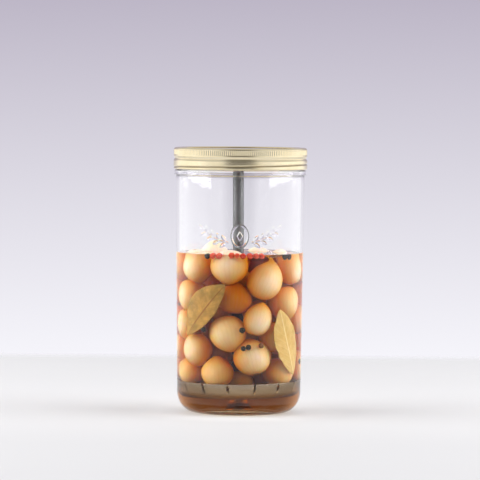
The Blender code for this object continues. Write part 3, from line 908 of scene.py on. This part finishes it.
def make_band(mottle):
    """The screw band: a rolled flange, knurl, grooves and skirt, with painted shade for the climbing groove
    kept as a vertex colour.
    """
    crest_r = KNURL_R - BAND_ROLL
    outer = [(BAND_FLANGE_R, BAND_TOP_Z - BAND_FLANGE_DROP)]
    outer += arc(crest_r, BAND_TOP_Z - BAND_ROLL, BAND_ROLL, BAND_ROLL, 100, 0, 10)
    height = BAND_TOP_Z - BAND_ROLL
    while height > BAND_BOTTOM_Z + 2.2 * SKIRT_ROLL:
        height -= BAND_STEP
        share = smooth_step(KNURL_LOW_Z, KNURL_LOW_Z - 1.5 * MM, height)
        outer.append((KNURL_R + (BAND_WALL_R - KNURL_R) * share, height))
    skirt_r = BAND_WALL_R - SKIRT_ROLL
    outer += arc(skirt_r, BAND_BOTTOM_Z + SKIRT_ROLL, SKIRT_ROLL, SKIRT_ROLL, 0, -150, 10)
    wall_r = BAND_WALL_R - UPPER_GROOVE_DEPTH - 2.0 * BAND_SHEET
    roll = BAND_ROLL - BAND_SHEET
    back = [(wall_r, BAND_BOTTOM_Z + 1.8 * SKIRT_ROLL), (wall_r, BAND_TOP_Z - BAND_ROLL)]
    back += arc(crest_r - 0.5 * MM, BAND_TOP_Z - BAND_ROLL, roll, roll, 20, 90, 5)
    back += [(BAND_FLANGE_R, BAND_TOP_Z - BAND_FLANGE_DROP - BAND_SHEET)]
    azimuths = even_azimuths(KNURL_RIBS * KNURL_STEPS)
    bm = turned(outer + back, azimuths, band_radius, closed=True)
    # Painted shade along the climbing groove, kept per point
    pooled = bm.verts.layers.float_color.new("groove")
    for vert in bm.verts:
        share = thread_share(math.degrees(math.atan2(vert.co.x, -vert.co.y)), vert.co.z) ** 2
        vert[pooled] = (share, share, share, 1.0)
    return finish_piece("gold_band", bm, band_material(mottle), "screw_band")


def make_disc(mottle):
    """The lid disc: a raised panel, a groove round it, a flange, and a seal ring below."""
    panel_z = DISC_FLANGE_Z + DISC_PANEL_RISE
    groove_z = DISC_FLANGE_Z - DISC_GROOVE_DEPTH
    top = [(0.0, panel_z)]
    for step in range(1, 13):
        top.append((DISC_PANEL_R * step / 12.0, panel_z))
    for step in range(1, 9):
        share = smooth_step(0.0, 8.0, step)
        radius = DISC_PANEL_R + (DISC_GROOVE_R - DISC_PANEL_R) * step / 8.0
        top.append((radius, panel_z + (groove_z - panel_z) * share))
    for step in range(1, 7):
        share = smooth_step(0.0, 6.0, step)
        radius = DISC_GROOVE_R + (DISC_GROOVE_END_R - DISC_GROOVE_R) * step / 6.0
        top.append((radius, groove_z + (DISC_FLANGE_Z - groove_z) * share))
    edge = arc(DISC_R - DISC_EDGE, DISC_FLANGE_Z - DISC_EDGE, DISC_EDGE, DISC_EDGE, 90, 0, 6)
    under = [(DISC_R, DISC_SEAL_Z), (DISC_SEAL_INNER_R, DISC_SEAL_Z)]
    under += [(DISC_SEAL_INNER_R, DISC_FLANGE_Z - DISC_SHEET), (DISC_GROOVE_R, groove_z - DISC_SHEET)]
    under += [(DISC_PANEL_R, panel_z - DISC_SHEET), (0.0, panel_z - DISC_SHEET)]
    bm = turned(top + edge + under, even_azimuths(256))
    return finish_piece("gold_disc", bm, disc_material(mottle), "lid_disc")


def dish_wall_radius(height):
    """Radius of the dish's leaning wall, on its outer face."""
    return DISH_R - (DISH_RIM_Z - height) * math.tan(DISH_WALL_LEAN)


def lifter_profile():
    """Rod, dish and foot as one outline: down the rod, out and up the dish, over its rim and back."""
    corner_z = DISH_BOTTOM_Z + DISH_CORNER
    corner_r = dish_wall_radius(corner_z) - DISH_CORNER
    inner_corner = DISH_CORNER - DISH_SHEET
    dish_floor_z = DISH_BOTTOM_Z + DISH_SHEET
    profile = [(0.0, ROD_TOP_Z)]
    profile += arc(ROD_R - ROD_ROUND, ROD_TOP_Z - ROD_ROUND, ROD_ROUND, ROD_ROUND, 90, 0, 6)
    fillet = arc(ROD_R + ROD_FILLET, dish_floor_z + ROD_FILLET, ROD_FILLET, ROD_FILLET, 180, 270, 6)
    profile += straight(profile[-1], fillet[0], 6.0 * MM) + fillet
    profile += arc(corner_r, corner_z, inner_corner, inner_corner, -90, DISH_CORNER_END, 8)
    rim_r = DISH_R - 0.5 * DISH_SHEET
    profile += arc(rim_r, DISH_RIM_Z - 0.4 * DISH_SHEET, 0.5 * DISH_SHEET, 0.4 * DISH_SHEET, 180, 0, 6)
    profile += arc(corner_r, corner_z, DISH_CORNER, DISH_CORNER, DISH_CORNER_END, -90, 8)
    foot_top_z = FOOT_BOTTOM_Z + FOOT_HEIGHT
    profile += [(FOOT_NECK_R, DISH_BOTTOM_Z), (FOOT_NECK_R, foot_top_z + FOOT_R - FOOT_NECK_R)]
    profile += [(FOOT_R, foot_top_z), (FOOT_R, FOOT_BOTTOM_Z), (0.0, FOOT_BOTTOM_Z)]
    return profile


def add_slot_block(bm, azimuth, width, low_z, high_z):
    """A block across the dish's wall, for one slot, with its edges rounded."""
    centre = Vector((0.0, -SLOT_CUT_R, 0.5 * (low_z + high_z)))
    scale = Matrix.Diagonal((width, SLOT_CUT_DEPTH, high_z - low_z, 1.0))
    matrix = Matrix.Rotation(azimuth, 4, "Z") @ Matrix.Translation(centre) @ scale
    made = bmesh.ops.create_cube(bm, size=1.0, matrix=matrix)
    inward = Matrix.Rotation(azimuth, 3, "Z") @ Vector((0.0, 1.0, 0.0))
    edges = set(e for v in made["verts"] for e in v.link_edges)
    along = [e for e in edges if abs((e.verts[1].co - e.verts[0].co).normalized().dot(inward)) > 0.9]
    bmesh.ops.bevel(bm, geom=along, offset=0.45 * width, segments=4, affect="EDGES")


def make_lifter(mottle):
    """The lifter, turned, cut through by its slits and slots, and leant a little."""
    cutter_bm = bmesh.new()
    for pair in range(SLOT_PAIRS):
        azimuth = SLIT_AZIMUTH + math.tau * pair / SLOT_PAIRS
        add_slot_block(cutter_bm, azimuth, SLIT_WIDTH, SLIT_LOW_Z, DISH_RIM_Z + SLOT_CUT_RISE)
        add_slot_block(cutter_bm, azimuth + math.pi / SLOT_PAIRS, SLOT_WIDTH, SLOT_LOW_Z, SLOT_HIGH_Z)
    cutter_mesh = bpy.data.meshes.new("slot_cutter")
    cutter_bm.to_mesh(cutter_mesh)
    cutter_bm.free()
    cutter = bpy.data.objects.new("slot_cutter", cutter_mesh)
    bpy.context.scene.collection.objects.link(cutter)
    bm = turned(lifter_profile(), even_azimuths(180))
    lifter = finish_piece("steel_lifter", bm, steel_material(mottle), "lifter")
    cut = lifter.modifiers.new("Slots", "BOOLEAN")
    cut.operation = "DIFFERENCE"
    cut.object = cutter
    evaluated = lifter.evaluated_get(bpy.context.evaluated_depsgraph_get())
    lifter.data = bpy.data.meshes.new_from_object(evaluated)
    lifter.modifiers.clear()
    lifter.data.transform(Matrix.Rotation(-LIFTER_LEAN, 4, "Y"))
    bpy.data.objects.remove(cutter)
    return lifter


def start_onions():
    """Every onion as centre, radius, length over diameter, and whether it keeps its place."""
    draw = random.Random(ONION_SEED)
    onions = []
    for azimuth, gap, height, diameter, length in FRONT_ONIONS + BACK_TOP_ONIONS:
        radius = 0.5 * diameter * MM
        reach = inner_radius(height * MM) - gap * MM
        onions.append([polar(azimuth, reach - radius, height * MM), radius, length, True])
    for tier, height in enumerate(BACK_TIERS):
        for place in range(BACK_COUNT):
            radius = 0.5 * draw.uniform(*BACK_DIAMETERS) * MM
            azimuth = BACK_START + BACK_STEP * (place + 0.5 * (tier % 2))
            azimuth += draw.uniform(-BACK_SHIFT, BACK_SHIFT)
            reach = inner_radius(height * MM) - LOOSE_GLASS_GAP
            centre = polar(azimuth, reach - radius, height * MM)
            onions.append([centre, radius, draw.uniform(*BACK_LENGTHS), False])
    for tier, height in enumerate(INNER_TIERS):
        for place in range(INNER_COUNT):
            radius = 0.5 * draw.uniform(*INNER_DIAMETERS) * MM
            azimuth = 360 / INNER_COUNT * (place + 0.5 * (tier % 2))
            centre = polar(azimuth, INNER_REACH * MM - radius, height * MM)
            onions.append([centre, radius, 1.0, False])
    return onions


def keep_inside(centre, radius):
    """Keep an onion between the rod and the glass, and clear of the dish and its rim."""
    height = max(centre.z, DISH_BOTTOM_Z + DISH_SHEET + GAP + radius)
    flat = Vector((centre.x, centre.y))
    reach = flat.length
    from_rim = Vector((reach - DISH_R + 0.5 * DISH_SHEET, height - DISH_RIM_Z))
    short = radius + 0.5 * DISH_SHEET + 2.0 * GAP - from_rim.length
    if short > 0.0:
        from_rim = from_rim.normalized() * short
        height += max(from_rim.y, 0.0)
        flat *= (reach + from_rim.x) / reach
    near = ROD_R + 2.0 * GAP + radius
    far = inner_radius(height) - LOOSE_GLASS_GAP - radius
    flat *= min(max(flat.length, near), far) / flat.length
    return Vector((flat.x, flat.y, height))


def packed_onions():
    """Push the loose onions apart, and shrink those that stay squeezed, until they only touch."""
    onions = start_onions()
    for _ in range(PUSHES):
        for i, one in enumerate(onions):
            for other in onions[:i]:
                between = one[0] - other[0]
                overlap = one[1] + other[1] - between.length
                if overlap <= 0.0:
                    continue
                push = between.normalized() * overlap * 0.5
                for onion, way in ((one, push), (other, -push)):
                    if not onion[3]:
                        onion[0] = onion[0] + way
                        onion[1] = max(onion[1] - SQUEEZE * overlap, SMALLEST_ONION_R)
        for onion in onions:
            if not onion[3]:
                onion[0] = keep_inside(onion[0], onion[1])
    return onions


def add_onion(bm, skin, tint, matrix, radius, length, tip, stain, seed):
    """One onion: round, drawn in towards its tip, a little flat at its root, and slightly uneven."""
    rows = []
    centre_reach = math.hypot(matrix.translation.x, matrix.translation.y)
    for ring in range(ONION_RINGS + 1):
        turn = math.pi * ring / ONION_RINGS
        drawn = 1.0 - TIP_PULL * tip * math.exp(-((turn / TIP_PULL_WIDTH) ** 2))
        flat = 1.0 - ROOT_FLAT * math.exp(-(((math.pi - turn) / ROOT_FLAT_WIDTH) ** 2))
        rise = TIP_RISE * tip * math.exp(-((turn / TIP_RISE_WIDTH) ** 2))
        up = radius * length * (math.cos(turn) * flat + rise)
        out = radius * math.sin(turn) * drawn
        row = []
        for side in range(ONION_SIDES if 0 < ring < ONION_RINGS else 1):
            angle = math.tau * side / ONION_SIDES
            point = Vector((out * math.cos(angle), out * math.sin(angle), up))
            uneven = noise.noise(point / radius * 1.1 + Vector((seed * 7.3, 0.0, 0.0)))
            point *= 1.0 + ONION_UNEVEN * uneven - ONION_SHRINK
            row.append(bm.verts.new(matrix @ point))
        rows.append(row)
    for ring in range(ONION_RINGS):
        high, low = rows[ring], rows[ring + 1]
        for side in range(ONION_SIDES):
            following = (side + 1) % ONION_SIDES
            places = [(high, side, 0), (low, side, 1), (low, following, 1), (high, following, 0)]
            corners = []
            for row, place, _ in places:
                corner = row[place % len(row)]
                if corner not in corners:
                    corners.append(corner)
            face = bm.faces.new(corners)
            for loop in face.loops:
                reach = math.hypot(loop.vert.co.x, loop.vert.co.y)
                # How far in from the glass a point lies, for the painted amber shade
                depth = min(max((reach - centre_reach) / radius, 0.0), 1.0)
                step = side
                if loop.vert in (high[following % len(high)], low[following % len(low)]) and len(high) > 1:
                    step = side + 1
                deep = ring if loop.vert in high else ring + 1
                loop[skin].uv = (step / ONION_SIDES, deep / ONION_RINGS)
                loop[tint] = (stain, depth, 0.0, 1.0)


def make_onions(mottle):
    """Every onion of the heap as one piece, each turned as its CAD solid is."""
    draw = random.Random(ONION_SEED)
    looks = random.Random(LOOKS_SEED)
    bm = bmesh.new()
    skin = bm.loops.layers.uv.new("skin")
    tint = bm.loops.layers.float_color.new("tint")
    for number, (centre, radius, length, _) in enumerate(packed_onions()):
        matrix = Matrix.Translation(centre)
        inner = math.hypot(centre.x, centre.y) + radius <= CORE_R
        source = looks if inner else draw
        for axis, most in (("X", ONION_LEAN), ("Y", ONION_LEAN), ("Z", math.pi)):
            matrix = matrix @ Matrix.Rotation(source.uniform(-most, most), 4, axis)
        if number == TIPPED_ONION:
            matrix = Matrix.Translation(centre) @ Matrix.Rotation(TIP_LEAN, 4, "Y")
        elif looks.random() < 0.5:
            matrix = matrix @ Matrix.Rotation(math.pi, 4, "X")
        tip = TIPPED_SHARE if number == TIPPED_ONION else looks.uniform(*TIP_SHARES)
        stain = looks.uniform(*STAINS) if number != STAINED_ONION else 1.0
        add_onion(bm, skin, tint, matrix, radius, length, tip, stain, number)
    return finish_piece("pickled_onions", bm, onion_material(mottle), "onions")


def make_leaf(name, node, leaf, material):
    """A bay leaf against the inside of the glass, with raised veins and an uneven edge."""
    low, high = Vector(leaf["low"]), Vector(leaf["high"])
    along = (high - low).normalized()
    across = Vector((along.y, -along.x))
    bm = bmesh.new()
    layout = bm.loops.layers.uv.new("blade")
    rows = []
    for step in range(LEAF_LENGTH_CELLS + 1):
        share = step / LEAF_LENGTH_CELLS
        row = []
        for cell in range(LEAF_WIDTH_CELLS + 1):
            side = 2.0 * cell / LEAF_WIDTH_CELLS - 1.0
            width = leaf["halves"][0] if side < 0.0 else leaf["halves"][1]
            half = max(LEAF_TIP_HALF, width * math.sin(math.pi * share) ** LEAF_FULLNESS)
            edge = noise.noise(Vector((share * LEAF_NOTCHES, math.copysign(1.0, side) * 3.0, 0.4)))
            half *= 1.0 + leaf["uneven"] * edge
            place = low + (high - low) * share + across * (half * side)
            wave = LEAF_WAVE * math.sin(math.tau * leaf["turns"] * share + LEAF_CROSS_WAVE * side)
            run = share - LEAF_VEIN_SWEEP * abs(side)
            vein = LEAF_VEIN_HEIGHT * max(0.0, math.sin(math.tau * LEAF_VEINS * run)) ** 6
            spine = LEAF_RIB_HEIGHT * math.exp(-((half * side / LEAF_RIB_HALF) ** 2))
            ripple = LEAF_RIPPLE * noise.noise(Vector((place.x * 0.3, place.y * 0.3, 2.0)))
            height = place.y * MM
            radius = inner_radius(height) - LEAF_GLASS_GAP + wave + max(vein, spine) + ripple
            vert = bm.verts.new(polar(math.degrees(place.x / LEAF_CURVE_R), radius, height))
            row.append((vert, (share, 0.5 * (side + 1.0))))
        rows.append(row)
    for first, second in zip(rows, rows[1:]):
        for a, b, c, d in zip(first, first[1:], second[1:], second):
            face = bm.faces.new([corner[0] for corner in (a, b, c, d)])
            for loop, corner in zip(face.loops, (a, b, c, d)):
                loop[layout].uv = corner[1]
    piece = finish_piece(name, bm, material, node)
    sheet = piece.modifiers.new("Sheet", "SOLIDIFY")
    sheet.thickness = LEAF_SHEET
    sheet.offset = 0.0
    return piece


def add_corn(bm, azimuth, height, diameter, wrinkle, seed):
    """One peppercorn against the glass, a ball with a net of wrinkles."""
    radius = 0.5 * diameter * MM
    reach = inner_radius(height * MM) - PEPPER_GLASS_GAP - radius
    centre = polar(azimuth, reach, height * MM)
    made = bmesh.ops.create_icosphere(bm, subdivisions=4, radius=1.0)
    shift = Vector((seed * 3.7, seed * 1.3, 0.0))
    for vert in made["verts"]:
        way = vert.co.copy()
        fold = abs(noise.noise(way * 2.6 + shift))
        fine = noise.noise(way * 6.0 + shift)
        grow = 1.0 - wrinkle * (1.0 - min(1.0, fold * 4.0)) + 0.25 * wrinkle * fine
        vert.co = centre + way * radius * grow


def make_corns(name, corns, wrinkle, material):
    bm = bmesh.new()
    for number, (azimuth, height, diameter) in enumerate(corns):
        add_corn(bm, azimuth, height, diameter, wrinkle, number + 1)
    return finish_piece(name, bm, material)


def make_bark(material):
    """The curled brown scrap of spice that floats beside the peppercorns."""
    bm = bmesh.new()
    rows = []
    for step in range(BARK_STEPS + 1):
        share = step / BARK_STEPS
        azimuth = BARK_START + BARK_TURN * share
        thick = BARK_HALF * math.sin(math.pi * min(max(share, 0.03), 0.97)) ** 0.35
        thick += BARK_UNEVEN * noise.noise(Vector((share * 14.0, 0.0, 0.0)))
        row = []
        for side in range(BARK_SIDES):
            angle = math.tau * side / BARK_SIDES
            radius = inner_radius(LEVEL_Z) - BARK_DEPTH + BARK_FLATNESS * thick * math.cos(angle) * MM
            height = (BARK_Z + BARK_RISE * share + thick * math.sin(angle)) * MM
            row.append(bm.verts.new(polar(azimuth, radius, height)))
        rows.append(row)
    for first, second in zip(rows, rows[1:]):
        for side in range(BARK_SIDES):
            following = (side + 1) % BARK_SIDES
            bm.faces.new([first[side], first[following], second[following], second[side]])
    bm.faces.new(rows[0])
    bm.faces.new(rows[-1])
    return finish_piece("spice_bark", bm, material)


def make_floor():
    """A pale table top whose far and near edges are soft, as they are out of focus."""
    bm = bmesh.new()
    far = TABLE_FAR_EDGE + 0.5 * TABLE_EDGE_BLUR
    corners = [(-TABLE_HALF_WIDTH, TABLE_NEAR_EDGE, 0.0), (TABLE_HALF_WIDTH, TABLE_NEAR_EDGE, 0.0)]
    corners += [(TABLE_HALF_WIDTH, far, 0.0), (-TABLE_HALF_WIDTH, far, 0.0)]
    bm.faces.new([bm.verts.new(c) for c in corners])
    mesh = bpy.data.meshes.new("table_top")
    bm.to_mesh(mesh)
    bm.free()
    material, tree, shader = new_material("pale table top")
    set_inputs(shader, Roughness=0.6, Specular_IOR_Level=0.1)
    place = object_place(tree)
    across, along, _ = split_axes(tree, place)
    reach = math_node(tree, "ABSOLUTE", across)
    # Painted light: the table is lighter round the jar, filling the jar's contact shadow.
    around = tree.nodes.new("ShaderNodeVectorMath")
    around.operation = "LENGTH"
    tree.links.new(place, around.inputs[0])
    by_jar = ramp(tree, around.outputs["Value"], *ROUND_JAR)
    # Painted shade: the table is darker in front, evening out the lamps' stronger light there.
    color = blend_colors(tree, ramp(tree, along, *FRONT_TO_MIDDLE), TABLE_FRONT, TABLE_MIDDLE)
    color = blend_colors(tree, ramp(tree, along, *MIDDLE_TO_BACK), color, TABLE_BACK)
    color = blend_colors(tree, ramp(tree, reach, *MIDDLE_TO_SIDES), color, TABLE_SIDES)
    color = blend_colors(tree, by_jar, color, TABLE_BY_JAR)
    tree.links.new(color, shader.inputs["Base Color"])
    edges = ramp(tree, along, far, far - TABLE_EDGE_BLUR)
    near = ramp(tree, along, TABLE_NEAR_EDGE, TABLE_NEAR_EDGE + 4.0 * TABLE_EDGE_BLUR)
    sides = ramp(tree, reach, TABLE_HALF_WIDTH, TABLE_HALF_WIDTH - 4.0 * TABLE_EDGE_BLUR)
    edges = math_node(tree, "MULTIPLY", edges, math_node(tree, "MULTIPLY", near, sides))
    tree.links.new(edges, shader.inputs["Alpha"])
    mesh.materials.append(material)
    floor = bpy.data.objects.new("table_top", mesh)
    bpy.context.scene.collection.objects.link(floor)


def make_backdrop():
    """The studio round the jar: lavender grey behind it, bright at the sides, dim at the camera."""
    world = bpy.data.worlds.new("studio backdrop")
    bpy.context.scene.world = world
    world.use_nodes = True
    tree = world.node_tree
    place = tree.nodes.new("ShaderNodeTexCoord")
    across, along, up = split_axes(tree, place.outputs["Generated"])
    aside = math_node(tree, "ABSOLUTE", across)
    rise = straight_ramp(tree, up, From_Min=BACKDROP_RISE[0], From_Max=BACKDROP_RISE[1])
    behind = blend_colors(tree, rise, BACKDROP_LOW, BACKDROP_HIGH)
    color = blend_colors(tree, ramp(tree, aside, *SIDE_BLEND), behind, SIDE_LIGHT)
    color = blend_colors(tree, ramp(tree, along, *FRONT_SIDE_BLEND), color, FRONT_SIDE_LIGHT)
    color = blend_colors(tree, ramp(tree, along, *CAMERA_BLEND), color, CAMERA_DIM)
    color = blend_colors(tree, ramp(tree, up, *CEILING_BLEND), color, CEILING_LIGHT)
    high = math_node(tree, "MULTIPLY", ramp(tree, up, *HIGH_UP_BLEND), ramp(tree, aside, *HIGH_SIDE_BLEND))
    high = math_node(tree, "MULTIPLY", high, ramp(tree, along, *HIGH_FRONT_BLEND))
    color = blend_colors(tree, high, color, HIGH_DIM)
    color = blend_colors(tree, ramp(tree, up, *TABLE_BLEND), color, TABLE_LIGHT)
    tree.links.new(color, tree.nodes["Background"].inputs["Color"])


def add_softbox(name, place, size, radiance, color):
    """A soft light of a given radiance, hidden from the camera and from mirroring surfaces."""
    width, height = size
    lamp = bpy.data.lights.new(name, "AREA")
    lamp.shape = "RECTANGLE"
    lamp.size = width
    lamp.size_y = height
    lamp.energy = radiance * math.pi * width * height
    lamp.color = color
    light = bpy.data.objects.new(name, lamp)
    bpy.context.scene.collection.objects.link(light)
    light.location = place
    light.rotation_mode = "QUATERNION"
    light.rotation_quaternion = (Vector(LAMP_TARGET) - Vector(place)).to_track_quat("-Z", "Y")
    light.visible_camera = False
    light.visible_glossy = False
    return light


def make_lights():
    """A softbox on either side, and a fill in front that can't be seen through the glass."""
    for name, azimuth in (("left softbox", -SOFTBOX_AZIMUTH), ("right softbox", SOFTBOX_AZIMUTH)):
        place = polar(azimuth, SOFTBOX_DISTANCE, SOFTBOX_HEIGHT)
        add_softbox(name, place, SOFTBOX_SIZE, SOFTBOX_RADIANCE, SOFTBOX_COLOR)
    fill = add_softbox("front fill", FILL_PLACE, FILL_SIZE, FILL_RADIANCE, FILL_COLOR)
    fill.visible_transmission = False


def make_camera():
    data = bpy.data.cameras.new("camera")
    data.lens = CAMERA_LENS
    data.sensor_width = 36.0
    data.clip_start = 0.05
    data.clip_end = 50.0
    camera = bpy.data.objects.new("camera", data)
    bpy.context.scene.collection.objects.link(camera)
    place = Matrix.Translation((CAMERA_SIDE, -CAMERA_DISTANCE, CAMERA_HEIGHT))
    tilt = Matrix.Rotation(0.5 * math.pi - CAMERA_PITCH, 4, "X")
    camera.matrix_world = place @ tilt @ Matrix.Rotation(CAMERA_ROLL, 4, "Z")
    bpy.context.scene.camera = camera


def set_light_paths():
    """Enough bounces for glass in glass, with plain colours."""
    scene = bpy.context.scene
    scene.view_settings.view_transform = "Standard"
    scene.cycles.max_bounces = 24
    scene.cycles.transmission_bounces = 24
    scene.cycles.glossy_bounces = 8
    scene.cycles.diffuse_bounces = 5
    scene.cycles.transparent_max_bounces = 48
    scene.cycles.use_denoising = True
    scene.cycles.sample_clamp_indirect = 8.0


def main():
    set_light_paths()
    make_camera()
    make_backdrop()
    make_floor()
    make_lights()
    mottle = mottle_group()
    make_glass()
    make_vinegar()
    make_band(mottle)
    make_disc(mottle)
    make_lifter(mottle)
    make_onions(mottle)
    left = leaf_material("left bay leaf", mottle, *LEFT_BLADE)
    right = leaf_material("right bay leaf", mottle, *RIGHT_BLADE)
    make_leaf("bay_leaf_left_blade", "bay_leaf_left", LEFT_LEAF, left)
    make_leaf("bay_leaf_right_blade", "bay_leaf_right", RIGHT_LEAF, right)
    black = pepper_material("black pepper skin", mottle, *BLACK_PEPPER_SKIN)
    red = pepper_material("red pepper skin", mottle, *RED_PEPPER_SKIN)
    brown = pepper_material("brown spice skin", mottle, *SPICE_SKIN)
    make_corns("black_peppercorns", BLACK_PEPPER, BLACK_WRINKLE, black)
    make_corns("red_peppercorns", RED_PEPPER, RED_WRINKLE, red)
    make_corns("spice_seed", (SPICE_SEED,), SEED_WRINKLE, brown)
    make_bark(brown)


main()
bpy.context.view_layer.update()
